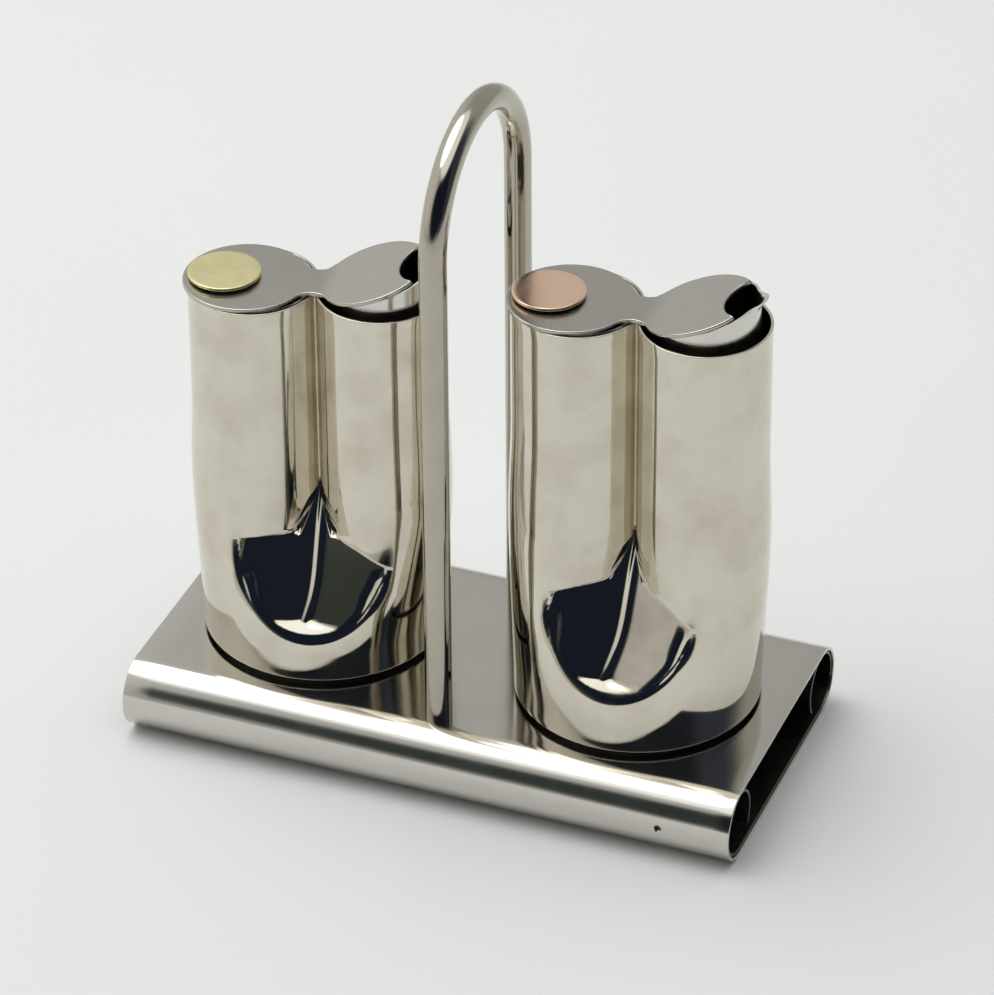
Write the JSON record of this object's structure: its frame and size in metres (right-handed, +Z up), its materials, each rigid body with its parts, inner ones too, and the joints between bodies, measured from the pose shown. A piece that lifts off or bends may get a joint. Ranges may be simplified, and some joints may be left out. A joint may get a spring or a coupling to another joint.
{
  "type": "cruet set with drawer",
  "caption": "Oil and vinegar cruets with lift-off pouring lids on a flattened tube base, with an arched tube handle and a tray drawer that slides out of the end.",
  "frame": {"origin": "centre of the underside of the base", "axes": "+X along the base towards the open end the drawer slides out of, +Y to the rear, +Z up"},
  "size_m": [0.19, 0.096, 0.2115],
  "materials": {
    "base_steel": "polished, fine brush lines",
    "handle_steel": "polished tube",
    "drawer_steel": "satin sheet",
    "cruet_steel": "mirror polished",
    "lid_steel": "fine satin",
    "sleeve_steel": "polished",
    "brass_disc": "satin brass",
    "copper_disc": "satin copper"
  },
  "bodies": {
    "base": {"base_sleeve": "base_steel", "drawer_stop_pin": "drawer_steel", "handle_tube": "handle_steel", "front_leg_plug": "handle_steel", "rear_leg_plug": "handle_steel"},
    "drawer": {"drawer_tray": "drawer_steel", "drawer_front_wall": "drawer_steel", "drawer_back_wall": "drawer_steel"},
    "left_cruet": {"left_cruet_body": "cruet_steel", "left_cruet_bottom": "cruet_steel"},
    "left_lid": {"left_lid_plate": "lid_steel", "left_lid_collar": "lid_steel", "left_pouring_sleeve": "sleeve_steel", "left_disc_stem": "lid_steel", "left_brass_disc": "brass_disc"},
    "right_cruet": {"right_cruet_body": "cruet_steel", "right_cruet_bottom": "cruet_steel"},
    "right_lid": {"right_lid_plate": "lid_steel", "right_lid_collar": "lid_steel", "right_pouring_sleeve": "sleeve_steel", "right_disc_stem": "lid_steel", "right_copper_disc": "copper_disc"}
  },
  "joints": [
    {"name": "drawer_slide", "type": "slide", "parent": "base", "child": "drawer", "axis": [1, 0, 0], "range_m": [0, 0.12]},
    {"name": "left_cruet_lift", "type": "slide", "parent": "base", "child": "left_cruet", "axis": [0, 0, 1], "range_m": [0, 0.06]},
    {"name": "left_lid_lift", "type": "slide", "parent": "left_cruet", "child": "left_lid", "axis": [0, 0, 1], "range_m": [0, 0.04]},
    {"name": "right_cruet_lift", "type": "slide", "parent": "base", "child": "right_cruet", "axis": [0, 0, 1], "range_m": [0, 0.06]},
    {"name": "right_lid_lift", "type": "slide", "parent": "right_cruet", "child": "right_lid", "axis": [0, 0, 1], "range_m": [0, 0.04]}
  ]
}
